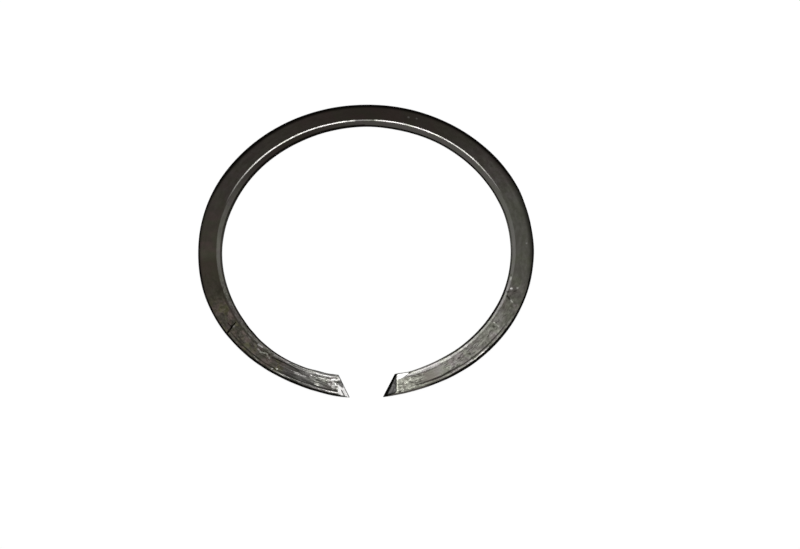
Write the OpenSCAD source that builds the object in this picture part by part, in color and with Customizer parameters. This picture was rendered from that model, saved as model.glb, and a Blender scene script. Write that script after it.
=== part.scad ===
// Open retaining ring for a groove in a shaft.
// A flat spring steel strip bent into a circle, lying on its plain side with the gap towards -Y.
// The seat is bored a little off centre, so the ring is widest at the back and narrows to its ends.
// Each end is cut askew, so the gap opens inwards, and its upper side ramps down to the outer tip.

/* [Ring] */
// Outside diameter, free of its groove
outer_d = 104; // [90:1:120]
// Radial width of the strip at the sides, halfway between back and ends
strip_w = 7.4; // [5.5:0.05:9]
// Distance that the seat lies off centre towards the gap
seat_shift = 0.8; // [0:0.05:1.2]
// Thickness of the strip
strip_h = 1.5; // [1.3:0.05:2.5]

/* [Edges] */
// Width of the bevel along the upper edge of the seat
bevel_w = 1.8; // [0.5:0.1:2.5]
// Depth of that bevel
bevel_h = 0.7; // [0.3:0.05:0.9]
// Radius of the upper outside edge
upper_round = 0.7; // [0.2:0.05:0.8]
// Radius of the lower outside edge
lower_round = 0.35; // [0.1:0.05:0.4]
// Chamfer along the lower edge of the seat
seat_chamfer = 0.2; // [0.05:0.05:0.3]

/* [Ends] */
// Distance between the two outer tips
tip_gap = 10.3; // [6:0.1:14]
// Distance between the two ends at the seat
seat_gap = 16.9; // [14:0.1:24]
// Length of the ramp at the outside, from the upper face down to the tip
ramp_l = 3.7; // [2:0.1:8]
// Thickness that the ramp leaves at the tip
tip_h = 0.2; // [0.1:0.05:0.8]

/* [Hidden] */
$fn = 180;
round_fn = 48;
steel = [0.29, 0.28, 0.26];
// Distance that a cutting shape reaches past the face it cuts
past = 3;

outer_r = outer_d / 2;
seat_r = outer_r - strip_w;
// Where the ends of the gap meet the seat and the outside, measured forwards from the ring's centre
seat_reach = seat_shift + sqrt(pow(seat_r, 2) - pow(seat_gap / 2, 2));
tip_reach = sqrt(pow(outer_r, 2) - pow(tip_gap / 2, 2));
// Sideways step of an end for each millimetre forwards
end_skew = (seat_gap - tip_gap) / 2 / (tip_reach - seat_reach);
// Direction of the ramp's upper edge, and its slope
ramp_turn = atan((tip_gap / 2 + ramp_l - seat_gap / 2) / (tip_reach - seat_reach));
ramp_slope = atan((strip_h - tip_h) / (ramp_l * cos(ramp_turn)));

// Half section of the round plate: square inside, both outside edges rounded
module plate_section() {
    square([outer_r - upper_round, strip_h]);
    square([outer_r - lower_round, strip_h - upper_round]);
    translate([0, lower_round])
        square([outer_r, strip_h - upper_round - lower_round]);
    translate([outer_r - upper_round, strip_h - upper_round])
        circle(upper_round, $fn = round_fn);
    translate([outer_r - lower_round, lower_round])
        circle(lower_round, $fn = round_fn);
}

// Half section of the opening: a straight seat with a bevel above and a chamfer below
module seat_section() {
    bevel_lean = bevel_w / bevel_h;
    polygon([
        [0, -past],
        [seat_r + seat_chamfer + past, -past],
        [seat_r, seat_chamfer],
        [seat_r, strip_h - bevel_h],
        [seat_r + bevel_w + bevel_lean * past, strip_h + past],
        [0, strip_h + past]
    ]);
}

// The gap between the ends, wider at the seat than at the tips
module gap_cutter() {
    seat_half = seat_gap / 2 + end_skew * past;
    tip_half = tip_gap / 2 - end_skew * past;
    translate([0, 0, -past])
        linear_extrude(strip_h + 2 * past)
            polygon([
                [-seat_half, past - seat_reach],
                [-tip_half, -tip_reach - past],
                [tip_half, -tip_reach - past],
                [seat_half, past - seat_reach]
            ]);
}

// Everything above the ramp on the right-hand end
module ramp_cutter() {
    translate([seat_gap / 2, -seat_reach, strip_h])
        rotate([0, 0, ramp_turn])
            rotate([0, -ramp_slope, 0])
                translate([-strip_w, -2 * strip_w, 0])
                    cube([strip_w, 3 * strip_w, strip_h + past]);
}

module retaining_ring() {
    color(steel)
        difference() {
            rotate_extrude()
                plate_section();
            translate([0, -seat_shift, 0])
                rotate_extrude()
                    seat_section();
            gap_cutter();
            ramp_cutter();
            mirror([1, 0, 0])
                ramp_cutter();
        }
}

retaining_ring();
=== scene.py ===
import math

import bmesh
import bpy
from mathutils import Matrix, Vector, noise


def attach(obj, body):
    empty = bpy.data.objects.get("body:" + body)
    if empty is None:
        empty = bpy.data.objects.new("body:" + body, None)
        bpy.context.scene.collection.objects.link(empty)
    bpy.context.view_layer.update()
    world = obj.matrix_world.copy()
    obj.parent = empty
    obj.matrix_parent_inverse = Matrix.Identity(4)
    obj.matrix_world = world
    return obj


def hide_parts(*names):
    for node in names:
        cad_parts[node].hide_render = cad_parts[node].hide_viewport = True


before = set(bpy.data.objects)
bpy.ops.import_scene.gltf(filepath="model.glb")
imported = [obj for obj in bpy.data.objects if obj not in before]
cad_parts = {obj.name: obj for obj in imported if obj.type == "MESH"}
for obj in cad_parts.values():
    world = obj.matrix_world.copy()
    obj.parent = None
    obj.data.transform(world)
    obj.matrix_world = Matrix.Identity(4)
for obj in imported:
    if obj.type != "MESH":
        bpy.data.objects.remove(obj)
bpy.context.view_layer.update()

# All lengths of the ring are written in millimetres, and MM turns them into the scene's metres
MM = 0.001

# Ring, as in the CAD part
OUTER_R = 52.0
SEAT_R = 44.6
SEAT_SHIFT = 0.8
STRIP_W = OUTER_R - SEAT_R
STRIP_H = 1.5
BEVEL_W = 1.8
BEVEL_H = 0.7
UPPER_ROUND = 0.7
LOWER_ROUND = 0.35
SEAT_CHAMFER = 0.2

# Ends, within two thirds of a millimetre of the CAD part's. Each pair of points lies about its own middle,
# a hair beside the ring's centre, and the reaches are measured forwards from that centre. RAMP_SEAT and
# RAMP_TIP are where the ramps' upper edges meet the seat and the outside. CUT_LENGTH is the length of an end.
SEAT_MIDDLE, SEAT_HALF_GAP, SEAT_REACH = -0.18, 8.44, 44.592
TIP_MIDDLE, TIP_HALF_GAP, TIP_REACH = -0.34, 4.86, 51.744
RAMP_SEAT_MIDDLE, RAMP_SEAT_HALF_GAP = 0.12, 8.75
RAMP_TIP_MIDDLE, RAMP_TIP_HALF_GAP = -0.01, 8.81
TIP_H = 0.2
CUT_LENGTH = math.hypot(SEAT_HALF_GAP - TIP_HALF_GAP, TIP_REACH - SEAT_REACH)

# Longest edges across the section, in its upper and in its lower half
UPPER_STEP = 0.3
LOWER_STEP = 1.4
# The section is spun in sectors, and stops this many degrees before the middle of the gap on each side
SECTORS = 28
SECTOR_STEPS = 38
SPARE_TURN = 4.6
# Rounding of the bevel's corner with the face, and of the section's corners with their segments: from the
# bevel's lower corner over the upper side to the one outside at the bottom
BEVEL_CORNER_ROUND = 0.4
CORNER_ROUNDS = ((0.22, 4), (BEVEL_CORNER_ROUND, 6), (UPPER_ROUND, 8), (LOWER_ROUND, 4))
# The ramps break more steeply near their lower edge: the width of that at the tip, and what it leaves there
TIP_BREAK = 0.8
THIN_TIP_H = 0.05

# Shares of the strip's height above which a point lies in the upper half, takes marks, and lies on the face
UPPER_HALF = 0.5
MARKED_PART = 0.6
FACE_PART = 0.9
# A face is on the upper side if its normal's height is above this
TURNED_UP = 0.3
# What is near an end lies more than END_FRONT in front of the ring's centre, and END_SIDE or less beside it
END_FRONT = 40
END_SIDE = 20
# Distances in metres below which points are merged, and below which a cut goes through a point
MERGE_DISTANCE = 1e-6
CUT_SNAP = 1e-7
SHARP_ANGLE = 32

# Waviness of the face: length of a wave, and how far it dips
RIPPLE_LENGTH = 3.5
RIPPLE_DEPTH = 0.05

# Crack across the left-hand side, with its branch: start, end, half width and depth
CRACKS = (
    ((-42.30, -30.45), (-40.70, -28.00), 0.32, 0.45),
    ((-40.95, -28.35), (-39.60, -26.40), 0.26, 0.35),
    ((-42.15, -26.85), (-41.00, -28.00), 0.18, 0.20),
)

# How far round a crack the mesh is cut, how far off points are looked for, and what share of its half width
# sinks. It deepens over one part in CRACK_TAPERS of its length, and darkens faster than it deepens.
CRACK_CUT_REACH = 0.7
CRACK_REACH = 1.0
CRACK_INSIDE = 0.999
CRACK_TAPERS = 6
CRACK_DARKENING = 2.5

# Marks on the upper side, among them a few painted highlights along the bevel. A groove has a start and an
# end, and a pit its place. Then come half width, depth, and the share of bare steel or painted highlight
# (above 0) or of darkening (below 0).
GROOVES = (
    ((-32.7, -34.2), (-31.5, -35.0), 0.55, 0.06, 0.5), ((-32.8, -35.8), (-32.2, -36.3), 0.42, 0.04, 0.3),
    ((-32.1, -36.8), (-30.7, -37.2), 0.42, 0.04, 0.35), ((-30.2, -37.3), (-29.7, -38.2), 0.42, 0.05, 0.35),
    ((-32.0, -35.9), (-31.7, -36.2), 0.43, 0.1, -0.7), ((-28.6, -38.6), (-27.3, -39.2), 0.42, 0.08, -0.8),
    ((-27.3, -39.2), (-25.5, -40.1), 0.42, 0.08, -0.9), ((-25.5, -40.1), (-24.3, -40.6), 0.42, 0.08, -0.9),
    ((-24.3, -40.6), (-22.2, -41.9), 0.42, 0.08, -0.8), ((-22.2, -41.9), (-20.4, -43.3), 0.42, 0.08, -0.7),
    ((-33.9, -38.1), (-32.8, -39.6), 0.42, 0.03, 0.2), ((-35.8, -30.1), (-34.7, -31.4), 0.42, 0.04, 0.25),
    ((-35.6, -31.7), (-35.1, -32.3), 0.42, 0.04, 0.2), ((-33.9, -32.5), (-33.2, -33.0), 0.42, 0.04, 0.25),
    ((-40.1, -27.9), (-40.3, -28.2), 0.42, 0.03, 0.2), ((-41.1, -28.4), (-40.8, -27.7), 0.46, 0.25, -1.0),
    ((-24.3, -40.0), (-23.4, -40.5), 0.43, 0.03, 0.5), ((-21.6, -43.9), (-19.8, -44.8), 0.42, 0.05, 0.45),
    ((-19.8, -44.8), (-18.4, -45.3), 0.42, 0.05, 0.5), ((-15.6, -47.7), (-14.5, -48.2), 0.42, 0.05, 0.75),
    # The grooves on this line and the first on the next lie along the bevel near the left-hand end: a painted
    # highlight
    ((-15.8, -43.9), (-13.0, -44.6), 0.7, 0.04, 0.8), ((-13.0, -44.6), (-11.0, -45.2), 0.8, 0.04, 0.82),
    ((-11.0, -45.2), (-9.2, -45.1), 0.75, 0.04, 0.74), ((-10.8, -46.5), (-9.8, -46.3), 0.49, 0.05, 1.0),
    ((-9.8, -46.3), (-9.2, -46.6), 0.43, 0.04, 1.0), ((-9.6, -47.6), (-9.3, -48.2), 0.42, 0.04, 1.0),
    ((-16.8, -47.6), (-14.1, -48.9), 0.42, 0.06, -0.85), ((-14.1, -48.9), (-11.1, -49.8), 0.42, 0.06, -0.85),
    ((-11.1, -49.8), (-9.0, -50.2), 0.42, 0.06, -0.85), ((-15.3, -46.2), (-11.7, -47.9), 0.42, 0.05, -0.6),
    ((-14.1, -47.4), (-11.1, -48.8), 0.42, 0.05, -0.5), ((-15.0, -48.4), (-11.7, -49.5), 0.42, 0.03, 0.4),
    ((14.0, -44.9), (14.8, -45.4), 0.42, 0.05, 0.5), ((16.6, -44.5), (16.3, -46.1), 0.42, 0.04, 0.4),
    ((14.6, -47.4), (15.3, -46.6), 0.42, 0.05, 0.45), ((17.0, -47.6), (19.4, -46.8), 0.42, 0.05, -0.45),
    ((19.4, -46.8), (21.9, -45.8), 0.42, 0.05, -0.85), ((21.9, -45.8), (24.9, -44.0), 0.42, 0.05, -0.9),
    # The second groove here and the first on the next line lie along the bevel: a painted highlight
    ((24.9, -44.0), (27.7, -42.2), 0.42, 0.05, -0.6), ((22.3, -40.9), (25.0, -39.3), 0.6, 0.02, 0.75),
    ((25.0, -39.3), (27.6, -37.4), 0.5, 0.02, 0.68), ((26.5, -40.8), (26.6, -41.2), 0.42, 0.04, 0.45),
    ((42.7, -18.7), (43.6, -20.2), 0.45, 0.08, -0.8), ((43.7, -20.2), (44.3, -21.1), 0.42, 0.05, 0.5),
    # The four grooves on this line and the next lie along the bevel on the right-hand side: painted
    # highlights
    ((42.6, -18.5), (40.6, -22.7), 0.42, 0.03, 0.5), ((38.6, -25.8), (37.2, -27.3), 0.42, 0.03, 0.6),
    ((36.3, -28.5), (33.8, -31.5), 0.42, 0.03, 0.4), ((32.4, -33.3), (29.8, -35.6), 0.42, 0.03, 0.55),
    ((38.4, -28.0), (40.0, -29.6), 0.42, 0.05, 0.5), ((30.0, -37.2), (30.4, -37.8), 0.42, 0.04, 0.4),
    ((44.3, -12.4), (44.1, -13.2), 0.5, 0.08, 0.72), ((42.8, -17.4), (43.4, -17.5), 0.45, 0.08, -0.7),
    ((45.0, -17.4), (45.6, -17.2), 0.45, 0.08, -0.6),
)
PITS = (
    ((-29.4, -37.8), 0.58, 0.16, -0.9), ((-31.1, -36.6), 0.42, 0.08, -0.6), ((-29.3, -38.9), 0.42, 0.05, 0.4),
    ((-28.4, -42.4), 0.46, 0.06, 0.55), ((-27.0, -42.6), 0.52, 0.06, 0.65),
    ((-27.7, -42.6), 0.42, 0.06, -0.5), ((-36.2, -29.2), 0.42, 0.04, 0.25),
    ((-41.8, -26.9), 0.49, 0.06, -0.5), ((-19.9, -46.1), 0.49, 0.06, 0.55), ((-18.4, -47.0), 0.43, 0.06, 0.5),
    ((-16.7, -44.8), 0.49, 0.06, 0.85), ((-15.2, -45.7), 0.46, 0.06, 0.55),
    ((-16.5, -47.0), 0.43, 0.06, 0.65), ((-13.5, -48.2), 0.46, 0.06, 0.7), ((-9.5, -45.8), 0.42, 0.06, -0.5),
    ((-8.8, -47.3), 0.55, 0.12, -1.0), ((13.0, -47.0), 0.52, 0.05, 0.5), ((11.4, -48.8), 0.55, 0.04, 0.3),
    ((10.6, -47.9), 0.42, 0.06, -0.45), ((9.4, -48.2), 0.42, 0.06, -0.5), ((9.9, -49.2), 0.42, 0.06, -0.45),
    ((10.4, -50.1), 0.43, 0.06, -0.4), ((11.9, -49.7), 0.43, 0.06, -0.35), ((12.6, -44.1), 0.75, 0.05, -0.9),
    ((38.4, -29.3), 0.75, 0.1, -0.65), ((38.3, -31.8), 0.43, 0.05, 0.45), ((35.9, -33.3), 0.46, 0.05, 0.4),
    ((30.8, -38.4), 0.75, 0.08, -0.6), ((44.2, -16.5), 0.65, 0.1, 0.78), ((44.3, -11.6), 0.45, 0.05, -0.5),
    ((46.1, -16.3), 0.5, 0.06, 0.5), ((49.6, -0.6), 0.5, 0.05, 0.25), ((14.0, 46.5), 0.5, 0.04, 0.12),
    ((16.6, 45.9), 0.45, 0.04, 0.1),
)

# The ring isn't quite round: at each turn from the gap, how far the outside, the bevel's corner and the seat
# stand out from their circles
BENDS = (
    (-180, -0.13, 0.0, 0.10), (-165, -0.05, 0.05, 0.0), (-150, -0.02, 0.10, -0.15),
    (-132, -0.02, 0.12, -0.15), (-112, 0.08, 0.20, -0.22), (-98, 0.03, 0.25, -0.10),
    (-90, -0.003, 0.10, -0.03), (-70, 0.26, 0.0, -0.07), (-57, 0.22, 0.15, 0.03), (-50, 0.08, 0.35, 0.24),
    (-44, 0.02, 0.45, 0.46), (-36, -0.12, 0.50, 0.56), (-31, -0.22, 0.50, 0.52), (-25, -0.24, 0.30, 0.38),
    (-18, -0.14, 0.10, 0.02), (-10, 0.08, 0.0, 0.16), (-5.5, 0.01, 0.0, 0.14), (4.5, -0.035, 0.0, 0.08),
    (11, -0.18, 0.05, 0.02), (16, -0.24, 0.15, 0.0), (23, -0.19, 0.20, -0.10), (30, -0.05, 0.06, -0.10),
    (38, 0.08, 0.02, 0.03), (57, 0.14, 0.05, 0.09), (66, 0.07, 0.0, 0.18), (85, -0.08, -0.05, 0.10),
    (97, -0.30, 0.0, 0.06), (104, -0.30, 0.0, 0.05), (112, -0.10, -0.10, -0.07), (123, -0.13, -0.25, -0.15),
    (136, -0.22, -0.15, -0.15), (150, -0.21, -0.05, -0.08), (165, -0.13, 0.0, -0.12),
    (180, -0.13, 0.0, 0.10),
)

# Turns from the gap, in degrees, between which the bevel fades out towards each end
RUN_OUT_START = 16.5
RUN_OUT_END = 11.0

# Slots of the ring's materials
BURNISHED, SCALE_AND_SHADE, RAMP, BREAK = 0, 1, 2, 3

# The outside edge, with a margin, takes the black scale where its normals' height is below a limit. The limit
# rises towards the back, where that black on the rounded edge is painted shade, from a first turn on and over
# a further run, both in degrees.
EDGE_MARGIN = 0.3
EDGE_LIMIT = 0.77
EDGE_LIMIT_RISE = 0.20
EDGE_RISE_START = 50
EDGE_RISE_RUN = 25


# Mesh of the ring

def clamped(value):
    """The value, held between 0 and 1."""
    return min(max(value, 0.0), 1.0)


def turn_of(place):
    """A place's turn from the gap in degrees, above 0 on the right and below 0 on the left."""
    return math.degrees(math.atan2(place.x, -place.y))


def draw_section(bm):
    """The strip's section, standing on X and rounded at its corners, with its long edges divided."""
    outline = (
        (SEAT_R, STRIP_H - BEVEL_H),
        (SEAT_R + BEVEL_W, STRIP_H),
        (OUTER_R, STRIP_H),
        (OUTER_R, 0.0),
        (SEAT_R + SEAT_CHAMFER, 0.0),
        (SEAT_R, SEAT_CHAMFER),
    )
    corners = [bm.verts.new((x * MM, 0, z * MM)) for x, z in outline]
    bm.faces.new(corners)
    for corner, (size, segments) in zip(corners, CORNER_ROUNDS):
        bmesh.ops.bevel(bm, geom=[corner], offset=size * MM, segments=segments, profile=0.5,
                        affect="VERTICES", material=-1)
    for edge in list(bm.edges):
        upper = max(vert.co.z for vert in edge.verts) > UPPER_HALF * STRIP_H * MM
        step = UPPER_STEP if upper else LOWER_STEP
        cuts = math.ceil(edge.calc_length() / (step * MM)) - 1
        if cuts > 0:
            bmesh.ops.subdivide_edges(bm, edges=[edge], cuts=cuts)
    bmesh.ops.delete(bm, geom=list(bm.faces), context="FACES_ONLY")
    from_seat = bm.verts.layers.float["from_seat"]
    for vert in bm.verts:
        vert[from_seat] = vert.co.x / MM - SEAT_R


def shift_seat(bm):
    """Moves the seat off centre, and the face between it and the outside by its share."""
    still_r = OUTER_R - UPPER_ROUND
    full_r = SEAT_R + BEVEL_W
    for vert in bm.verts:
        radius = vert.co.xy.length / MM
        share = clamped((still_r - radius) / (still_r - full_r))
        vert.co.y -= SEAT_SHIFT * share * MM


def run_out_bevel(bm):
    """Fades the bevel out just before each end, so that the ramps reach up to the seat's edge."""
    from_seat = bm.verts.layers.float["from_seat"]
    for vert in bm.verts:
        share = clamped((RUN_OUT_START - abs(turn_of(vert.co))) / (RUN_OUT_START - RUN_OUT_END))
        on_bevel = vert[from_seat] < BEVEL_W + BEVEL_CORNER_ROUND and vert.co.z > UPPER_HALF * STRIP_H * MM
        if share > 0 and on_bevel:
            vert.co.z += (STRIP_H * MM - vert.co.z) * share * share * (3 - 2 * share)


def bend_ring(bm):
    """Takes the outside, the bevel's corner and the seat off their true circles, as BENDS says."""
    from_seat = bm.verts.layers.float["from_seat"]
    for vert in bm.verts:
        turn = turn_of(vert.co)
        number = sum(1 for bend in BENDS[1:-1] if bend[0] < turn)
        before, after = BENDS[number], BENDS[number + 1]
        share = (1 - math.cos(math.pi * (turn - before[0]) / (after[0] - before[0]))) / 2
        outside, corner, seat = (a + (b - a) * share for a, b in zip(before[1:], after[1:]))
        across = min(max(vert[from_seat], 0.0), STRIP_W)
        if across < BEVEL_W:
            shift = seat + (corner - seat) * across / BEVEL_W
        else:
            shift = corner + (outside - corner) * (across - BEVEL_W) / (STRIP_W - BEVEL_W)
        vert.co.xy += vert.co.xy.normalized() * shift * MM


def with_corners(faces):
    """The faces, with their edges and their corner points."""
    return faces + list({e for f in faces for e in f.edges}) + list({v for f in faces for v in f.verts})


def cut_end(bm, side, place, normal, slot):
    """Takes away what lies outside a plane at one end, and closes the cut with a flat face."""
    near = [f for f in bm.faces if f.calc_center_median().y < -END_FRONT * MM
            and 0 < f.calc_center_median().x * side < END_SIDE * MM]
    cut = bmesh.ops.bisect_plane(bm, geom=with_corners(near), dist=CUT_SNAP, plane_co=place,
                                 plane_no=normal, clear_outer=True)
    rim = [e for e in cut["geom_cut"] if isinstance(e, bmesh.types.BMEdge)]
    rim = [e for e in rim if e.is_valid and e.is_boundary]
    filled = bmesh.ops.edgeloop_fill(bm, edges=rim, mat_nr=slot)
    return filled["faces"]


def cut_both_ends(bm):
    """Cuts each end askew, then slopes its upper side down to the outer tip."""
    for side in (1, -1):
        seat_corner = Vector((SEAT_MIDDLE + side * SEAT_HALF_GAP, -SEAT_REACH, STRIP_H)) * MM
        tip = Vector((TIP_MIDDLE + side * TIP_HALF_GAP, -TIP_REACH, TIP_H)) * MM
        ramp_seat = Vector((RAMP_SEAT_MIDDLE + side * RAMP_SEAT_HALF_GAP, -SEAT_REACH, STRIP_H)) * MM
        ramp_top = Vector((RAMP_TIP_MIDDLE + side * RAMP_TIP_HALF_GAP, -TIP_REACH, STRIP_H)) * MM
        along_gap = Vector((tip.x - seat_corner.x, tip.y - seat_corner.y, 0))
        out_of_end = Vector((along_gap.y, -along_gap.x, 0)) * side
        cut_end(bm, side, seat_corner, out_of_end.normalized(), SCALE_AND_SHADE)
        above_ramp = (ramp_top - ramp_seat).cross(tip - ramp_seat) * -side
        cut_end(bm, side, ramp_seat, above_ramp.normalized(), RAMP)
        drop = above_ramp.dot(seat_corner - ramp_seat) / above_ramp.z
        ramp_foot = seat_corner - Vector((0, 0, drop))
        thin_tip = tip - Vector((0, 0, (TIP_H - THIN_TIP_H) * MM))
        break_top = tip + (ramp_top - tip).normalized() * TIP_BREAK * MM
        above_break = (break_top - ramp_foot).cross(thin_tip - ramp_foot) * -side
        cut_end(bm, side, ramp_foot, above_break.normalized(), BREAK)


def off_line(place, start, end):
    """How far a place lies from the line between start and end, which may be one and the same."""
    line, away = end - start, place - start
    if line.length > 0:
        away -= line * clamped(away.dot(line) / line.length_squared)
    return away.length


def near_faces(bm, start, end, reach):
    """The upper faces within a distance of the line from start to end."""
    return [f for f in bm.faces if f.normal.z > TURNED_UP
            and off_line(f.calc_center_median().xy, start.xy, end.xy) < reach]


def cut_crack(bm, start, end, half_width, depth, dark_marks):
    """Cuts a narrow V into the upper side from start to end, shallower towards both of its ends."""
    start, end = (Vector((*p, STRIP_H)) * MM for p in (start, end))
    line = (end - start).normalized()
    across = Vector((-line.y, line.x, 0))
    for offset in (-half_width, 0.0, half_width):
        near = near_faces(bm, start, end, CRACK_CUT_REACH * MM)
        bmesh.ops.bisect_plane(bm, geom=with_corners(near), dist=CUT_SNAP,
                               plane_co=start + across * offset * MM, plane_no=across)
    length = (end - start).length
    for vert in {v for f in near_faces(bm, start, end, CRACK_REACH * MM) for v in f.verts}:
        run = (vert.co - start).xy.dot(line.xy)
        off = abs((vert.co - start).xy.dot(across.xy))
        if 0 < run < length and off < half_width * MM * CRACK_INSIDE:
            taper = min(1.0, CRACK_TAPERS * run / length, CRACK_TAPERS * (length - run) / length)
            inner = 1 - off / (half_width * MM)
            vert.co.z -= depth * MM * taper * inner
            vert[dark_marks] = max(vert[dark_marks], min(1.0, CRACK_DARKENING * taper * inner))


def press_marks(bm, bare_and_glint, dark_marks):
    """Presses the grooves and pits into the upper side, and marks each as rubbed to steel or darkened; some
    rubbed ones along the bevel are painted highlights.
    """
    upper = [v for v in bm.verts if v.co.z > MARKED_PART * STRIP_H * MM]
    pits = tuple((place, place, half_width, depth, share) for place, half_width, depth, share in PITS)
    for start, end, half_width, depth, share in GROOVES + pits:
        layer = bare_and_glint if share > 0 else dark_marks
        start, end = Vector(start) * MM, Vector(end) * MM
        middle = (start + end) / 2
        reach = half_width * MM + (end - start).length / 2
        for vert in upper:
            if abs(vert.co.x - middle.x) < reach and abs(vert.co.y - middle.y) < reach:
                gap = min(off_line(vert.co.xy, start, end) / (half_width * MM), 1.0)
                hold = (1 - gap * gap) ** 2
                vert.co.z -= depth * MM * hold
                vert[layer] = max(vert[layer], abs(share) * hold)


def ripple_face(bm):
    """Old steel is never quite flat: the upper side dips by a few hundredths of a millimetre."""
    for vert in bm.verts:
        if vert.co.z > FACE_PART * STRIP_H * MM:
            wave = noise.noise(vert.co / (RIPPLE_LENGTH * MM))
            vert.co.z -= RIPPLE_DEPTH * MM * (0.5 + 0.5 * wave)


def give_slots(bm):
    """The walls and the underside keep their black scale, which also covers the outside edge at the back,
    there as painted shade.
    """
    for face in bm.faces:
        face.smooth = True
        centre = face.calc_center_median()
        share = clamped((abs(turn_of(centre)) - EDGE_RISE_START) / EDGE_RISE_RUN)
        outer = centre.xy.length > (OUTER_R - UPPER_ROUND - EDGE_MARGIN) * MM
        limit = EDGE_LIMIT + EDGE_LIMIT_RISE * share if outer else TURNED_UP
        if face.material_index == BURNISHED and face.normal.z < limit:
            face.material_index = SCALE_AND_SHADE


def spin_section(bm):
    """Spins the section through one sector, then repeats the sector from end to end of the ring."""
    start = math.radians(SPARE_TURN - 90)
    sector = math.radians(360 - 2 * SPARE_TURN) / SECTORS
    bmesh.ops.rotate(bm, verts=list(bm.verts), cent=(0, 0, 0), matrix=Matrix.Rotation(start, 3, "Z"))
    bmesh.ops.spin(bm, geom=list(bm.verts) + list(bm.edges), cent=(0, 0, 0), axis=(0, 0, 1),
                   angle=sector, steps=SECTOR_STEPS, use_merge=False)
    bmesh.ops.spin(bm, geom=list(bm.verts) + list(bm.edges) + list(bm.faces), cent=(0, 0, 0),
                   axis=(0, 0, 1), angle=sector * (SECTORS - 1), steps=SECTORS - 1, use_duplicate=True,
                   use_merge=False)
    bmesh.ops.remove_doubles(bm, verts=list(bm.verts), dist=MERGE_DISTANCE)


def build_ring():
    bm = bmesh.new()
    bm.verts.layers.float.new("from_seat")
    bare_and_glint = bm.verts.layers.float.new("bare_and_glint")
    dark_marks = bm.verts.layers.float.new("dark_marks")
    draw_section(bm)
    spin_section(bm)
    bmesh.ops.recalc_face_normals(bm, faces=list(bm.faces))
    run_out_bevel(bm)
    shift_seat(bm)
    bend_ring(bm)
    ripple_face(bm)
    cut_both_ends(bm)
    for start, end, half_width, depth in CRACKS:
        cut_crack(bm, start, end, half_width, depth, dark_marks)
    press_marks(bm, bare_and_glint, dark_marks)
    bmesh.ops.remove_doubles(bm, verts=list(bm.verts), dist=MERGE_DISTANCE)
    bmesh.ops.recalc_face_normals(bm, faces=list(bm.faces))
    bm.normal_update()
    give_slots(bm)
    mesh = bpy.data.meshes.new("retaining_ring_worn")
    bm.to_mesh(mesh)
    bm.free()
    mesh.set_sharp_from_angle(angle=math.radians(SHARP_ANGLE))
    ring = bpy.data.objects.new("retaining_ring_worn", mesh)
    bpy.context.scene.collection.objects.link(ring)
    return ring


# Nodes, wired by short calls: a value may be a number or another node's output

def wire(tree, value, socket):
    if isinstance(value, bpy.types.NodeSocket):
        tree.links.new(value, socket)
    else:
        socket.default_value = value


def maths(tree, operation, first, second=0.0, third=0.0):
    node = tree.nodes.new("ShaderNodeMath")
    node.operation = operation
    for value, socket in zip((first, second, third), node.inputs):
        wire(tree, value, socket)
    return node.outputs[0]


def times(tree, first, *others):
    for other in others:
        first = maths(tree, "MULTIPLY", first, other)
    return first


def rest_of(tree, share):
    """What a share leaves of 1."""
    return maths(tree, "SUBTRACT", 1, share)


def most(tree, first, *others):
    for other in others:
        first = maths(tree, "MAXIMUM", first, other)
    return first


def fade(tree, value, start, end):
    """0 up to the start, 1 from the end on, and a smooth rise between. The end may lie below the start."""
    node = tree.nodes.new("ShaderNodeMapRange")
    node.interpolation_type = "SMOOTHSTEP"
    wire(tree, value, node.inputs["Value"])
    wire(tree, start, node.inputs["From Min"])
    wire(tree, end, node.inputs["From Max"])
    return node.outputs[0]


def strip(tree, value, low, high, soft):
    """1 between low and high, with soft sides."""
    rise = fade(tree, value, low - soft, low + soft)
    return times(tree, rise, fade(tree, value, high + soft, high - soft))


def below(tree, value, limit, soft):
    """1 below the limit and 0 above it, with a soft step between them."""
    return fade(tree, value, maths(tree, "ADD", limit, soft), maths(tree, "SUBTRACT", limit, soft))


def tint(tree, share, under, over):
    """A colour laid over another one by its share."""
    node = tree.nodes.new("ShaderNodeMix")
    node.data_type = "RGBA"
    node.inputs[0].default_value = 0
    wire(tree, share, node.inputs[0])
    for colour, socket in ((under, node.inputs[6]), (over, node.inputs[7])):
        wire(tree, (*colour, 1) if isinstance(colour, tuple) else colour, socket)
    return node.outputs[2]


def between(tree, share, low, high):
    """The low value where the share is 0, and the high one where it is 1."""
    node = tree.nodes.new("ShaderNodeMix")
    wire(tree, share, node.inputs[0])
    wire(tree, low, node.inputs[2])
    wire(tree, high, node.inputs[3])
    return node.outputs[0]


def cloud(tree, place, detail, roughness):
    """Soft noise from 0 to 1, with one feature to each unit of the place."""
    node = tree.nodes.new("ShaderNodeTexNoise")
    node.inputs["Scale"].default_value = 1
    node.inputs["Detail"].default_value = detail
    node.inputs["Roughness"].default_value = roughness
    tree.links.new(place, node.inputs["Vector"])
    return node.outputs[0]


def covered(tree, value, given):
    """Turns soft noise into a mask, with the cover and the softness that the group is given."""
    middle = between(tree, given["Cover"], 0.72, 0.28)
    soft = given["Soft"]
    return fade(tree, value, maths(tree, "SUBTRACT", middle, soft), maths(tree, "ADD", middle, soft))


def vector_maths(tree, operation, first, second):
    node = tree.nodes.new("ShaderNodeVectorMath")
    node.operation = operation
    wire(tree, first, node.inputs[0])
    wire(tree, second, node.inputs[1])
    return node


def point(tree, x, y, z):
    node = tree.nodes.new("ShaderNodeCombineXYZ")
    for value, socket in zip((x, y, z), node.inputs):
        wire(tree, value, socket)
    return node.outputs[0]


def vertex_mask(tree, name):
    node = tree.nodes.new("ShaderNodeAttribute")
    node.attribute_name = name
    return node.outputs["Fac"]


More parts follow.
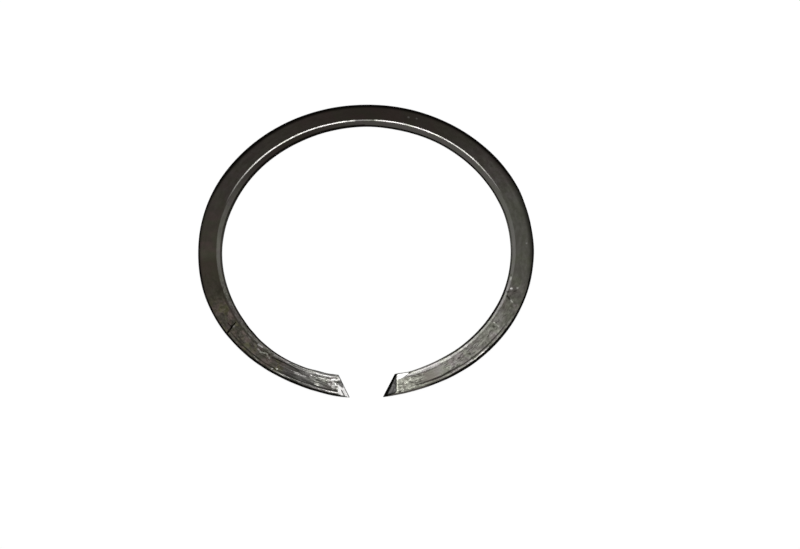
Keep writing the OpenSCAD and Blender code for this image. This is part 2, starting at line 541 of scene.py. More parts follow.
def new_group(name, inputs, outputs):
    group = bpy.data.node_groups.new(name, "ShaderNodeTree")
    for label, kind, value in inputs:
        socket = group.interface.new_socket(label, in_out="INPUT", socket_type="NodeSocket" + kind)
        if value is not None:
            socket.default_value = value
    for label, kind in outputs:
        group.interface.new_socket(label, in_out="OUTPUT", socket_type="NodeSocket" + kind)
    return group, group.nodes.new("NodeGroupInput").outputs, group.nodes.new("NodeGroupOutput").inputs


def use_group(tree, group, values=None):
    node = tree.nodes.new("ShaderNodeGroup")
    node.node_tree = group
    for label, value in (values or {}).items():
        wire(tree, value, node.inputs[label])
    return node.outputs


def millimetres(tree):
    """The point on the ring, in millimetres."""
    place = tree.nodes.new("ShaderNodeTexCoord")
    return vector_maths(tree, "MULTIPLY", place.outputs["Object"], (1 / MM,) * 3).outputs[0]


# Effects that the ring's materials share

def make_ring_place():
    """Where a point lies on the ring: its turn from the gap in degrees, masks of the left and right side, and
    distances in millimetres."""
    group, _, out = new_group("ring_place", (), (
        ("Turn", "Float"), ("Away", "Float"), ("Left", "Float"), ("Right", "Float"),
        ("From Outside", "Float"), ("From Seat", "Float"), ("Past Ramp", "Float"),
        ("Along End", "Float"), ("In From End", "Float"), ("Round", "Vector")))
    here = millimetres(group)
    parts = group.nodes.new("ShaderNodeSeparateXYZ")
    group.links.new(here, parts.inputs[0])
    x, y = parts.outputs["X"], parts.outputs["Y"]
    forwards = maths(group, "MULTIPLY", y, -1)
    turn = maths(group, "DEGREES", maths(group, "ARCTAN2", x, forwards))
    radius = vector_maths(group, "LENGTH", point(group, x, y, 0), (0, 0, 0)).outputs["Value"]
    from_seat = vertex_mask(group, "from_seat")
    from_outside = maths(group, "SUBTRACT", STRIP_W, from_seat)
    # The two ends all but mirror each other, so their distances are worked out on the right-hand one
    ahead = maths(group, "SUBTRACT", forwards, SEAT_REACH)
    reach = TIP_REACH - SEAT_REACH

    def beside(seat_middle, seat_half_gap, tip_middle, tip_half_gap):
        """How far out a point lies from the line between the points at the seat and those at the outside."""
        middle = maths(group, "MULTIPLY_ADD", ahead, (tip_middle - seat_middle) / reach, seat_middle)
        widening = (tip_half_gap - seat_half_gap) / reach
        half_gap = maths(group, "MULTIPLY_ADD", ahead, widening, seat_half_gap)
        off_middle = maths(group, "ABSOLUTE", maths(group, "SUBTRACT", x, middle))
        return maths(group, "SUBTRACT", off_middle, half_gap)

    beside_cut = beside(SEAT_MIDDLE, SEAT_HALF_GAP, TIP_MIDDLE, TIP_HALF_GAP)
    inwards = times(group, beside_cut, reach / CUT_LENGTH)
    along = maths(group, "SUBTRACT", times(group, ahead, CUT_LENGTH / reach),
                  times(group, inwards, (SEAT_HALF_GAP - TIP_HALF_GAP) / reach))
    past_ramp = beside(RAMP_SEAT_MIDDLE, RAMP_SEAT_HALF_GAP, RAMP_TIP_MIDDLE, RAMP_TIP_HALF_GAP)
    round_x = times(group, maths(group, "DIVIDE", x, radius), OUTER_R)
    round_y = times(group, maths(group, "DIVIDE", y, radius), OUTER_R)
    round_place = point(group, round_x, round_y, from_outside)
    for label, value in (("Turn", turn), ("Away", maths(group, "ABSOLUTE", turn)),
                         ("Left", fade(group, turn, 4, -4)), ("Right", fade(group, turn, -4, 4)),
                         ("From Outside", from_outside), ("From Seat", from_seat), ("Past Ramp", past_ramp),
                         ("Along End", along), ("In From End", inwards), ("Round", round_place)):
        wire(group, value, out[label])
    return group


def make_streaks():
    """Scratches that run round the ring, of a given length and width in millimetres."""
    group, given, out = new_group("worn_streaks", (
        ("Round", "Vector", None), ("Length", "Float", 8.0), ("Width", "Float", 0.25),
        ("Cover", "Float", 0.4), ("Soft", "Float", 0.08), ("Seed", "Float", 0.0)), (("Mask", "Float"),))
    long_way = maths(group, "DIVIDE", 1, given["Length"])
    cross_way = maths(group, "DIVIDE", 1, given["Width"])
    stretched = vector_maths(group, "MULTIPLY", given["Round"], point(group, long_way, long_way, cross_way))
    moved = vector_maths(group, "ADD", stretched.outputs[0], point(group, given["Seed"], given["Seed"], 0))
    wire(group, covered(group, cloud(group, moved.outputs[0], 2.5, 0.6), given), out["Mask"])
    return group


def make_patches():
    """Blotches of a given size in millimetres."""
    group, given, out = new_group("stain_patches", (
        ("Size", "Float", 5.0), ("Cover", "Float", 0.4), ("Soft", "Float", 0.1), ("Seed", "Float", 0.0)),
        (("Mask", "Float"),))
    even = maths(group, "DIVIDE", 1, given["Size"])
    scaled = vector_maths(group, "MULTIPLY", millimetres(group), point(group, even, even, even))
    moved = vector_maths(group, "ADD", scaled.outputs[0], point(group, given["Seed"], 0, given["Seed"]))
    wire(group, covered(group, cloud(group, moved.outputs[0], 2.5, 0.5), given), out["Mask"])
    return group


# Materials

# Colours of the oxide and its stains, each at the back and near the gap, lighter near the gap as painted
# sheen with some wear, and of the oxide along the sides
OXIDE = ((0.0160, 0.0130, 0.0108), (0.040, 0.035, 0.028))
RUSTY = ((0.0210, 0.0138, 0.0122), (0.062, 0.044, 0.042))
MOSSY = ((0.0160, 0.0156, 0.0105), (0.043, 0.045, 0.030))
GREEN_RIGHT = (0.037, 0.038, 0.030)
BROWN_LEFT = (0.021, 0.018, 0.012)
COLD_LEFT = (0.048, 0.047, 0.046)
# Blotches low on the left: size, cover, softness, seed, strength and colour
BLOTCHES = (
    (2.2, 0.40, 0.07, 61.0, 0.80, (0.072, 0.052, 0.045)),
    (2.6, 0.36, 0.07, 71.0, 0.80, (0.058, 0.056, 0.026)),
    (0.9, 0.36, 0.08, 87.0, 0.45, (0.080, 0.068, 0.060)),
)
# Bare steel, where it is rubbed white or painted white as a highlight, and the colour of the dirt in its
# marks, which also serves for painted shade
PLAIN_STEEL = (0.56, 0.55, 0.53)
GREENISH_STEEL = (0.54, 0.55, 0.475)
LILAC_STEEL = (0.57, 0.55, 0.54)
RUBBED_WHITE_AND_GLINT = (0.92, 0.92, 0.90)
GRIME_AND_SHADE = (0.0022, 0.0019, 0.0016)
# Black scale from dark to pale, and where it is rubbed grey
SCALE_TONES = ((0.0025, 0.0022, 0.0020), (0.0080, 0.0070, 0.0060))
RUBBED_SCALE = (0.075, 0.070, 0.062)
# Ramps from dull to bare, their painted shade, and their white from dark to pale, a painted reflection of
# light on rubbed steel; then the same for their lower edges
GROUND_TONES = ((0.035, 0.034, 0.031), (0.62, 0.61, 0.60))
RAMP_SHADE = (0.0018, 0.0018, 0.0015)
RAMP_WHITES = ((0.53, 0.52, 0.51), (0.74, 0.73, 0.72))
BREAK_BLACK = (0.0020, 0.0020, 0.0016)
BREAK_WHITES = ((0.62, 0.61, 0.60), (0.82, 0.81, 0.80))

# What changes round the ring, by turn from the gap in degrees: shares of bare steel on face, bevel and
# outside edge, which paint in sheen and highlights as well as wear, the share of darkening along the seat,
# and the widths of the black edge, painted shade at the back, and of the margin beside it
FACE_TONE = (
    (-180, 0.0), (-150, 0.01), (-125, 0.020), (-107, 0.014), (-92, 0.0), (-70, 0.008), (-55, 0.04),
    (-36, 0.055), (-28, 0.0), (-21, 0.13), (-14, 0.34), (-8, 0.30), (9, 0.30), (17, 0.17), (23, 0.16),
    (27, 0.26), (33, 0.27), (40, 0.21), (48, 0.28), (56, 0.18), (62, 0.10), (78, 0.035), (100, 0.045),
    (122, 0.045), (140, 0.010), (180, 0.0),
)
BEVEL_TONE = (
    (-180, 0.06), (-168, 0.02), (-150, 0.0), (-125, 0.01), (-100, 0.11), (-75, 0.12), (-50, 0.12),
    (-42, 0.11), (-36, 0.18), (-30, 0.30), (-14, 0.45), (14, 0.70), (22, 0.85), (30, 0.62), (38, 0.46),
    (55, 0.26), (75, 0.16), (105, 0.14), (135, 0.09), (160, 0.08), (180, 0.06),
)
RIM_TONE = (
    (-80, 0.0), (-36, 0.0), (-32, 0.25), (-29, 0.55), (-26, 0.5), (-23, 0.0), (-19, 0.0), (-16, 0.75),
    (-11, 1.0), (4, 0.0), (13, 0.10), (17, 0.30), (20, 0.34), (23, 0.10), (26, 0.30), (29, 0.36),
    (34, 0.15), (38.5, 0.95), (42.5, 0.8), (47, 0.1), (53, 0.0), (80, 0.0),
)
SEAT_DARK_TONE = (
    (-180, 0.85), (-120, 0.85), (-97, 0.45), (-80, 0.45), (-55, 0.9), (-35, 0.9), (-20, 0.6), (-8, 0.40),
    (8, 0.50), (20, 0.45), (34, 0.70), (48, 0.9), (74, 0.9), (86, 0.30), (94, 0.30), (108, 0.7),
    (125, 0.85), (180, 0.85),
)
BLACK_WIDTH = (
    (-180, 0.92), (-150, 1.0), (-125, 1.0), (-102, 0.50), (-75, 0.32), (-50, 0.36), (-35, 0.36),
    (-22, 0.30), (-14, 0.27), (4, 0.0), (16, 0.0), (24, 0.18), (29, 0.30), (38, 0.45), (48, 0.50),
    (60, 0.46), (72, 0.36), (90, 0.36), (105, 0.55), (125, 0.90), (180, 0.92),
)
MARGIN_WIDTH = (
    (-180, 0.60), (-140, 0.62), (-110, 0.60), (-90, 0.45), (-60, 0.5), (60, 0.5), (82, 0.85), (105, 1.0),
    (140, 0.9), (160, 0.8), (180, 0.55),
)


def round_tone(tree, turn, stops):
    """A value that changes round the ring, from stops of turn in degrees and value."""
    node = tree.nodes.new("ShaderNodeValToRGB")
    wire(tree, maths(tree, "MULTIPLY_ADD", turn, 1 / 360, 0.5), node.inputs[0])
    ramp = node.color_ramp
    ramp.interpolation = "B_SPLINE"
    for number, (place, value) in enumerate(stops):
        stop = ramp.elements[number] if number < 2 else ramp.elements.new(place / 360 + 0.5)
        stop.position = place / 360 + 0.5
        stop.color = (value, value, value, 1)
    return node.outputs[0]


class Finish:
    """One of the ring's materials, with the place of each point and the patterns that it may use."""

    def __init__(self, name, groups):
        self.material = bpy.data.materials.new(name)
        self.material.use_nodes = True
        self.tree = self.material.node_tree
        self.shader = self.tree.nodes["Principled BSDF"].inputs
        self.shader["Specular IOR Level"].default_value = 0.0
        self.groups = groups
        place = use_group(self.tree, groups["place"])
        self.turn, self.away = place["Turn"], place["Away"]
        self.left, self.right = place["Left"], place["Right"]
        self.outside, self.seat, self.round = place["From Outside"], place["From Seat"], place["Round"]
        self.past, self.along, self.inwards = place["Past Ramp"], place["Along End"], place["In From End"]

    def streaks(self, length, width, cover, soft, seed):
        return use_group(self.tree, self.groups["streaks"], {
            "Round": self.round, "Length": length, "Width": width, "Cover": cover, "Soft": soft,
            "Seed": seed})["Mask"]

    def patches(self, size, cover, soft, seed):
        return use_group(self.tree, self.groups["patches"], {
            "Size": size, "Cover": cover, "Soft": soft, "Seed": seed})["Mask"]


def oxide_colour(finish, lilac, moss):
    """Brown-black at the back and greyer towards the gap, where painted sheen and some wear lighten it;
    stained, and darkest along the left-hand side.
    """
    tree, away, left = finish.tree, finish.away, finish.left
    # Towards the gap the colours grow lighter: painted sheen, with some wear
    near = fade(tree, away, 130, 60)
    green_right = strip(tree, finish.turn, 68, 112, 8)
    rusty_share = times(tree, lilac, between(tree, near, 0.35, 0.75), between(tree, green_right, 1, 0.25))
    oxide = tint(tree, rusty_share, tint(tree, near, *OXIDE), tint(tree, near, *RUSTY))
    oxide = tint(tree, times(tree, green_right, 0.6), oxide, GREEN_RIGHT)
    oxide = tint(tree, times(tree, moss, between(tree, near, 0.4, 0.7)), oxide, tint(tree, near, *MOSSY))
    brown_left = times(tree, left, fade(tree, away, 87, 83), fade(tree, away, 25, 40), 0.65)
    oxide = tint(tree, brown_left, oxide, BROWN_LEFT)
    blotched = times(tree, left, strip(tree, away, 27, 66, 5), fade(tree, finish.seat, 1.9, 2.4))
    for size, cover, soft, seed, strength, colour in BLOTCHES:
        blotches = finish.patches(size, cover, soft, seed)
        oxide = tint(tree, times(tree, blotched, blotches, strength), oxide, colour)
    cold_left = times(tree, left, strip(tree, away, 16, 31, 2), 0.65)
    return tint(tree, cold_left, oxide, COLD_LEFT)


def face_wear_and_sheen(finish, mottle, scratch, smooth):
    """Bare steel on the face, its share round the ring painting sheen as well as wear: mottled, with scores
    and lit lines low on the left, and flecks on the right.
    """
    tree, turn, away, left = finish.tree, finish.turn, finish.away, finish.left
    grain = finish.patches(0.9, 0.5, 0.15, 91.0)
    uneven = times(tree, between(tree, smooth, between(tree, mottle, 0.70, 1.24), 1.0),
                   between(tree, smooth, between(tree, grain, 0.88, 1.12), 1.0))
    scored = between(tree, times(tree, left, fade(tree, away, 45, 25), scratch), 1.0, 0.30)
    lit_lines = times(tree, left, fade(tree, away, 36, 20), finish.streaks(7.0, 0.36, 0.30, 0.06, 51.0), 0.42)
    flecks = times(tree, strip(tree, turn, 6, 20, 1.5), finish.patches(1.3, 0.34, 0.10, 41.0), 0.20)
    # The share round the ring paints sheen as well as wear, highest near the gap and on the right-hand side
    tone = times(tree, round_tone(tree, turn, FACE_TONE), uneven, scored)
    return maths(tree, "ADD", tone, most(tree, lit_lines, flecks))


def bevel_wear_and_glint(finish, mottle):
    """Bare steel on the bevel, its share round the ring painting sheen as well as wear, with a painted
    highlight on the right: most on the right near the gap, less elsewhere, and pitted low on the left.
    """
    tree, away, right = finish.tree, finish.away, finish.right
    # A painted highlight: a strip along the middle of the bevel on the right-hand side
    painted_glint = times(tree, right, strip(tree, away, 28, 72, 5), strip(tree, finish.seat, 0.74, 1.42, 0.18), 0.40)
    tone = maths(tree, "ADD", round_tone(tree, finish.turn, BEVEL_TONE), painted_glint)
    mottled = between(tree, times(tree, mottle, between(tree, right, 1.0, 0.25)), 0.83, 1.1)
    low_left = times(tree, finish.left, strip(tree, away, 36, 70, 8))
    pits = between(tree, finish.patches(0.8, 0.42, 0.12, 83.0), 0.72, 1.36)
    return times(tree, tone, mottled, between(tree, low_left, 1, pits))


def wear_and_highlight_lines(finish, rim, at_ends):
    """Lines of steel: the bevel's corner at the back, a painted highlight, and the outside edge near the gap
    and each ramp's top, rubbed edges with a painted highlight on them.
    """
    tree, away = finish.tree, finish.away
    corner = strip(tree, finish.seat, 1.66, 1.98, 0.13)
    broken = between(tree, finish.streaks(3.0, 0.5, 0.55, 0.15, 4.0), 0.6, 1.0)
    dull_middle = between(tree, fade(tree, away, 175.5, 176.5), 1, 0.4)
    # The bevel's corner at the back is a painted highlight, broken up and dulled in the middle
    corner_highlight = times(tree, corner, fade(tree, away, 105, 140), broken, dull_middle, 0.9)
    rubbed = between(tree, finish.streaks(6, 0.5, 0.5, 0.2, 2.0), 0.6, 1.0)
    # The outside edge near the gap and each ramp's top are rubbed edges with a painted highlight
    rim_wear_and_highlight = times(tree, rim, round_tone(tree, finish.turn, RIM_TONE), rubbed)
    ramp_wear_and_highlight = times(tree, at_ends, strip(tree, finish.past, 0.0, 0.35, 0.1), 0.62)
    return most(tree, corner_highlight, rim_wear_and_highlight, ramp_wear_and_highlight)


def wear_and_sheen_share(finish, face, bevel_steel_and_glint, bevel, at_ends):
    """Bare steel all over the upper side, with the painted sheen and highlight of face and bevel, more of it
    at both ends, and most at the left-hand end's corner.
    """
    tree, past = finish.tree, finish.past
    end_worn = times(tree, at_ends, fade(tree, past, 8, 1.0), finish.patches(1.1, 0.42, 0.12, 9.0), 0.24)
    corner_worn = times(tree, finish.left, at_ends, fade(tree, past, 2.6, 1.2),
                        strip(tree, finish.along, -1, 3.2, 0.3), finish.patches(1.1, 0.62, 0.12, 33.0), 0.7)
    face = maths(tree, "ADD", most(tree, face, corner_worn), end_worn)
    return most(tree, between(tree, bevel, face, bevel_steel_and_glint), corner_worn)


def black_edge_share(finish, back):
    """Black along the outside edge, widest and softest at the back, where it is painted shade."""
    tree = finish.tree
    width = times(tree, round_tone(tree, finish.turn, BLACK_WIDTH), between(tree, back, 1, 1.4))
    return below(tree, finish.outside, width, between(tree, back, 0.07, 0.48))


def dirt_and_shade_share(finish, smooth, bevel, back):
    """Darker along the seat and beside the outside edge, and soiled in pits, lines and strokes, and in the
    marks.
    """
    tree, turn, away, left, seat, outside = (finish.tree, finish.turn, finish.away, finish.left, finish.seat,
                                             finish.outside)
    beside_rim = times(tree, strip(tree, outside, 1.15, 1.60, 0.13), fade(tree, away, 66, 48),
                       rest_of(tree, strip(tree, turn, 0, 16, 2)), 0.62)
    beside_bevel = times(tree, strip(tree, seat, 1.85, 2.3, 0.2), left, strip(tree, away, 38, 75, 10), 0.35)
    seat_width = between(tree, back, between(tree, strip(tree, turn, 30, 70, 4), 0.48, 0.70),
                         between(tree, left, 0.15, 0.32))
    along_seat = times(tree, fade(tree, seat, maths(tree, "ADD", seat_width, 0.2), seat_width),
                       round_tone(tree, turn, SEAT_DARK_TONE))
    margin_width = times(tree, round_tone(tree, turn, MARGIN_WIDTH), 2.5)
    margin = times(tree, fade(tree, outside, margin_width, 0.1), fade(tree, away, 60, 90), 0.78)
    low_left = times(tree, left, strip(tree, away, 18, 30, 2), strip(tree, outside, 0.95, 2.6, 0.4), 0.50)
    left_lines = times(tree, left, fade(tree, away, 50, 20), finish.streaks(5, 0.45, 0.32, 0.07, 23.0), 0.7)
    strokes = times(tree, finish.streaks(1.8, 0.35, 0.30, 0.06, 17.0), fade(tree, away, 85, 50),
                    between(tree, smooth, 0.5, 0.0), rest_of(tree, times(tree, bevel, finish.right, 0.8)))
    pitted_sides = most(tree, strip(tree, turn, 33, 72, 4), times(tree, strip(tree, turn, -76, -46, 6), 1.6))
    pits = times(tree, pitted_sides, finish.patches(1.1, 0.40, 0.12, 27.0), 0.22)
    return most(tree, beside_rim, beside_bevel, along_seat, margin, low_left, left_lines, strokes, pits,
                vertex_mask(tree, "dark_marks"))


def white_share(finish, at_ends, black_edge):
    """Where it is white: a wedge on the right-hand end's bevel, a painted reflection of light on rubbed
    steel, and the brightest marks, some of them painted highlights.
    """
    tree, past, seat = finish.tree, finish.past, finish.seat
    # The wedge is a painted reflection of light on the rubbed bevel
    wedge = times(tree, finish.right, at_ends, fade(tree, past, 0.08, 0.28),
                  fade(tree, maths(tree, "MULTIPLY_ADD", past, 0.75, seat), 3.25, 3.05),
                  fade(tree, maths(tree, "MULTIPLY_ADD", past, 0.27, seat), 2.25, 2.05),
                  fade(tree, seat, 0.30, 0.45))
    marks = fade(tree, vertex_mask(tree, "bare_and_glint"), 0.60, 0.95)
    hidden = most(tree, black_edge, vertex_mask(tree, "dark_marks"))
    return times(tree, most(tree, wedge, marks), rest_of(tree, hidden))


def make_burnished_steel(groups):
    """Dark oxide on the upper side, stained brown and green, rubbed bright along edges and near the gap,
    where painted sheen and highlights join the wear, and blackened by painted shade along the outside edge at
    the back.
    """
    finish = Finish("burnished_steel", groups)
    tree, turn, away, seat, shader = finish.tree, finish.turn, finish.away, finish.seat, finish.shader
    mottle = finish.streaks(3.0, 1.0, 0.5, 0.16, 5.0)
    scratch = finish.streaks(7.0, 0.42, 0.42, 0.12, 1.0)
    lilac = finish.patches(3.4, 0.42, 0.12, 3.0)
    moss = finish.patches(3.8, 0.45, 0.12, 11.0)
    back = fade(tree, away, 85, 125)
    at_ends = fade(tree, away, 60, 40)
    smooth = times(tree, strip(tree, turn, 20.5, 28, 1.5), strip(tree, seat, 2.2, 6.0, 0.4))
    bevel = fade(tree, seat, 1.75, 1.45)
    rim = strip(tree, finish.outside, 0.38, 0.92, 0.10)

    face = face_wear_and_sheen(finish, mottle, scratch, smooth)
    wear_and_sheen = wear_and_sheen_share(finish, face, bevel_wear_and_glint(finish, mottle), bevel, at_ends)
    wear_and_sheen = most(tree, wear_and_sheen, wear_and_highlight_lines(finish, rim, at_ends), vertex_mask(tree, "bare_and_glint"))
    black_edge = black_edge_share(finish, back)
    # The black edge joins the dirt; at the back it is painted shade
    dirt_and_shade = most(tree, dirt_and_shade_share(finish, smooth, bevel, back), black_edge)
    white = white_share(finish, at_ends, black_edge)
    metal = times(tree, wear_and_sheen, rest_of(tree, dirt_and_shade))

    green_face = times(tree, strip(tree, turn, 6, 25, 2), fade(tree, seat, 1.7, 2.3))
    greenish = most(tree, times(tree, moss, 0.8), green_face)
    steel = tint(tree, greenish, PLAIN_STEEL, GREENISH_STEEL)
    steel = tint(tree, times(tree, lilac, rest_of(tree, greenish)), steel, LILAC_STEEL)
    colour = tint(tree, metal, oxide_colour(finish, lilac, moss), steel)
    colour = tint(tree, dirt_and_shade, colour, GRIME_AND_SHADE)
    wire(tree, tint(tree, white, colour, RUBBED_WHITE_AND_GLINT), shader["Base Color"])
    wire(tree, between(tree, white, metal, 0.2), shader["Metallic"])
    polish = most(tree, rim, times(tree, bevel, finish.right, fade(tree, away, 65, 45)))
    rough = between(tree, polish, between(tree, metal, 0.32, 0.38), 0.27)
    wire(tree, between(tree, dirt_and_shade, rough, 0.8), shader["Roughness"])
    bump = tree.nodes.new("ShaderNodeBump")
    bump.inputs["Strength"].default_value = 0.25
    bump.inputs["Distance"].default_value = 0.00005
    wire(tree, maths(tree, "ADD", mottle, times(tree, scratch, 0.5)), bump.inputs["Height"])
    wire(tree, bump.outputs[0], shader["Normal"])
    return finish.material


def make_black_scale_and_shade(groups):
    """Matte black scale on the outer wall, the seat's wall and the underside, and black as painted shade on
    the outside edge at the back; rubbed grey at the right-hand end.
    """
    finish = Finish("black_scale_and_shade", groups)
    tree = finish.tree
    cloudy = finish.patches(2.5, 0.5, 0.2, 2.0)
    rubbed = times(tree, finish.right, fade(tree, finish.turn, 23, 17))
    colour = tint(tree, rubbed, tint(tree, cloudy, *SCALE_TONES), RUBBED_SCALE)
    wire(tree, colour, finish.shader["Base Color"])
    wire(tree, between(tree, cloudy, 0.55, 0.75), finish.shader["Roughness"])
    return finish.material


def make_ramp_steel(groups):
    """The ramps at the ends: ground steel, dark on the right with painted shade, and on the left rubbed steel
    with a painted reflection of light and a dark crease of painted shade.
    """
    finish = Finish("ramp_steel", groups)
    tree, left, right, along, inwards = finish.tree, finish.left, finish.right, finish.along, finish.inwards
    speckle = finish.patches(1.0, 0.5, 0.12, 8.0)
    grain = finish.patches(0.5, 0.5, 0.15, 13.0)
    above_foot = maths(tree, "SUBTRACT", CUT_LENGTH, maths(tree, "MULTIPLY_ADD", inwards, 0.585, along))
    # Right: ground steel, with painted shade under its upper edge, at its foot and in a black band along the
    # end
    ground = between(tree, speckle, between(tree, grain, 0.02, 0.08), between(tree, grain, 0.09, 0.22))
    band_width = between(tree, fade(tree, along, 0, 8), 0.72, 1.05)
    band = times(tree, right, below(tree, inwards, band_width, 0.14))
    foot = times(tree, right, fade(tree, above_foot, 1.3, 0.3))
    under_edge = times(tree, right, fade(tree, finish.past, -0.8, -0.1), 0.45)
    # Left: painted shade at mid-height, otherwise rubbed steel painted white as a reflection of light, with a
    # black crease of painted shade and a grey outline along the end
    dark_width = maths(tree, "MULTIPLY_ADD", along, -0.50, 3.0)
    dark_part = times(tree, left, strip(tree, along, 1.9, 4.4, 0.2), below(tree, inwards, dark_width, 0.15))
    outline = times(tree, left, most(tree, times(tree, fade(tree, inwards, 0.42, 0.22), 0.8),
                                     times(tree, fade(tree, above_foot, 0.42, 0.22), 0.9)))
    crease = times(tree, left, strip(tree, inwards, 1.16, 1.50, 0.09), strip(tree, along, 4.9, 7.4, 0.2), 0.9)
    dirt_and_shade = most(tree, crease, band, foot, under_edge)
    white = times(tree, left, rest_of(tree, most(tree, dark_part, outline, crease)))
    metal = times(tree, ground, rest_of(tree, dirt_and_shade))
    colour = tint(tree, dirt_and_shade, tint(tree, metal, *GROUND_TONES), RAMP_SHADE)
    colour = tint(tree, white, colour, tint(tree, speckle, *RAMP_WHITES))
    wire(tree, colour, finish.shader["Base Color"])
    wire(tree, metal, finish.shader["Metallic"])
    finish.shader["Roughness"].default_value = 0.38
    return finish.material


def make_break_steel(groups):
    """The steep lower edge of the ramps: black on the right as painted shade, and white on the left as a
    painted reflection of light on rubbed steel.
    """
    finish = Finish("break_steel", groups)
    tree, along = finish.tree, finish.along
    speckle = finish.patches(0.8, 0.5, 0.2, 4.0)
    above_foot = maths(tree, "SUBTRACT", CUT_LENGTH, along)
    outline = most(tree, fade(tree, finish.inwards, 0.42, 0.22), fade(tree, above_foot, 0.5, 0.3))
    white = times(tree, finish.left, fade(tree, along, 3.4, 4.0), between(tree, outline, 1.0, 0.20))
    colour = tint(tree, white, BREAK_BLACK, tint(tree, speckle, *BREAK_WHITES))
    wire(tree, colour, finish.shader["Base Color"])
    finish.shader["Roughness"].default_value = 0.4
    finish.shader["Specular IOR Level"].default_value = 0.02
    return finish.material


# Camera, lights and floor

# The camera's turn round the ring, its height and its roll, in degrees, and its distance in metres
VIEW_TURN = 1.15
VIEW_HEIGHT = 60.45
VIEW_ROLL = -1.85
VIEW_DISTANCE = 0.624
LENS = 90.6
SHIFT_X = 0.0424
SHIFT_Y = -0.0353

# Lamps: name, lean to the right and to the back in degrees, distance, width and depth in metres, and watts
LAMPS = (
    ("overhead_softbox", 3, 9.5, 0.8, 0.58, 0.28, 4.4),
    ("back_softbox", 8, 67, 0.9, 0.7, 0.25, 2.2),
    ("front_softbox", 0, -46, 0.9, 0.7, 0.3, 3.6),
)

# Floor: half its size and its gap below the ring in metres, its grey, and how far it shows as plain white
FLOOR_HALF = 4
FLOOR_GAP = 0.00005
FLOOR_GREY = 0.95
FLOOR_WHITENESS = 0.92

# Studio: its even fill, and what reflections see of it, from white up to one height to dim above another
FILL_LIGHT = 0.3
BRIGHT_BELOW, DIM_ABOVE = 0.35, 0.85
BRIGHT_WALL, DIM_CEILING = 1.0, 0.2


def place_camera():
    turn, height, roll = (math.radians(a) for a in (VIEW_TURN, VIEW_HEIGHT, VIEW_ROLL))
    back = Vector((math.sin(turn) * math.cos(height), -math.cos(turn) * math.cos(height), math.sin(height)))
    level = Vector((math.cos(turn), math.sin(turn), 0))
    rise = back.cross(level)
    right = level * math.cos(roll) + rise * math.sin(roll)
    up = rise * math.cos(roll) - level * math.sin(roll)
    data = bpy.data.cameras.new("photo_view")
    data.lens = LENS
    data.shift_x = SHIFT_X
    data.shift_y = SHIFT_Y
    data.clip_start = 0.01
    camera = bpy.data.objects.new("photo_view", data)
    turned = Matrix((right, up, back)).transposed().to_4x4()
    camera.matrix_world = Matrix.Translation(back * VIEW_DISTANCE) @ turned
    bpy.context.scene.collection.objects.link(camera)
    bpy.context.scene.camera = camera


def softbox(name, lean_right, lean_back, distance, width, depth, watts):
    """A soft rectangular lamp, leaning from straight above by two angles in degrees, aimed at the ring."""
    data = bpy.data.lights.new(name, "AREA")
    data.shape = "RECTANGLE"
    data.size = width
    data.size_y = depth
    data.energy = watts
    lamp = bpy.data.objects.new(name, data)
    way = Vector((math.tan(math.radians(lean_right)), math.tan(math.radians(lean_back)), 1)).normalized()
    lamp.location = way * distance
    lamp.rotation_mode = "QUATERNION"
    lamp.rotation_quaternion = way.to_track_quat("Z", "Y")
    bpy.context.scene.collection.objects.link(lamp)


def seen_directly(tree):
    """1 for what the camera sees straight on or by reflection, and 0 for light on other things."""
    path = tree.nodes.new("ShaderNodeLightPath").outputs
    return most(tree, path["Is Camera Ray"], path["Is Glossy Ray"], path["Is Transmission Ray"])


def put_out(tree, kind, share, first, second):
    """Ends a tree in an output of that kind: the first shader, and by a share the second one."""
    mix = tree.nodes.new("ShaderNodeMixShader")
    wire(tree, share, mix.inputs[0])
    wire(tree, first.outputs[0], mix.inputs[1])
    wire(tree, second.outputs[0], mix.inputs[2])
    wire(tree, mix.outputs[0], tree.nodes.new(kind).inputs["Surface"])


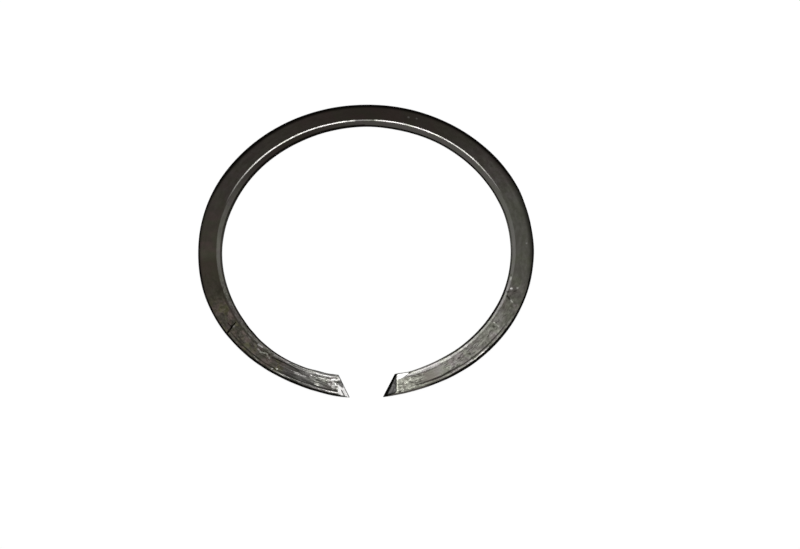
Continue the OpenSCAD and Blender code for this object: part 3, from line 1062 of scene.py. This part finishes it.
def make_floor():
    bm = bmesh.new()
    bmesh.ops.create_grid(bm, x_segments=1, y_segments=1, size=FLOOR_HALF)
    bmesh.ops.translate(bm, verts=list(bm.verts), vec=(0, 0, -FLOOR_GAP))
    mesh = bpy.data.meshes.new("floor")
    bm.to_mesh(mesh)
    bm.free()
    floor = bpy.data.objects.new("floor", mesh)
    bpy.context.scene.collection.objects.link(floor)
    material = bpy.data.materials.new("pale_floor")
    material.use_nodes = True
    tree = material.node_tree
    tree.nodes.clear()
    matte = tree.nodes.new("ShaderNodeBsdfDiffuse")
    matte.inputs["Color"].default_value = (FLOOR_GREY, FLOOR_GREY, FLOOR_GREY, 1)
    white = tree.nodes.new("ShaderNodeEmission")
    white.inputs["Strength"].default_value = 1
    share = times(tree, seen_directly(tree), FLOOR_WHITENESS)
    put_out(tree, "ShaderNodeOutputMaterial", share, matte, white)
    mesh.materials.append(material)


def make_world():
    world = bpy.data.worlds.new("studio")
    bpy.context.scene.world = world
    world.use_nodes = True
    tree = world.node_tree
    tree.nodes.clear()
    fill = tree.nodes.new("ShaderNodeBackground")
    fill.inputs["Color"].default_value = (1, 1, 1, 1)
    fill.inputs["Strength"].default_value = FILL_LIGHT
    shown = tree.nodes.new("ShaderNodeBackground")
    place = tree.nodes.new("ShaderNodeTexCoord")
    parts = tree.nodes.new("ShaderNodeSeparateXYZ")
    wire(tree, place.outputs["Generated"], parts.inputs[0])
    dimming = fade(tree, parts.outputs["Z"], BRIGHT_BELOW, DIM_ABOVE)
    wire(tree, between(tree, dimming, BRIGHT_WALL, DIM_CEILING), shown.inputs["Strength"])
    put_out(tree, "ShaderNodeOutputWorld", seen_directly(tree), fill, shown)


bpy.context.scene.view_settings.view_transform = "Standard"
place_camera()
make_world()
make_floor()
for lamp in LAMPS:
    softbox(*lamp)

ring = build_ring()
groups = {"place": make_ring_place(), "streaks": make_streaks(), "patches": make_patches()}
for make_finish in (make_burnished_steel, make_black_scale_and_shade, make_ramp_steel, make_break_steel):
    ring.data.materials.append(make_finish(groups))
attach(ring, "root")
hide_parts("retaining_ring")
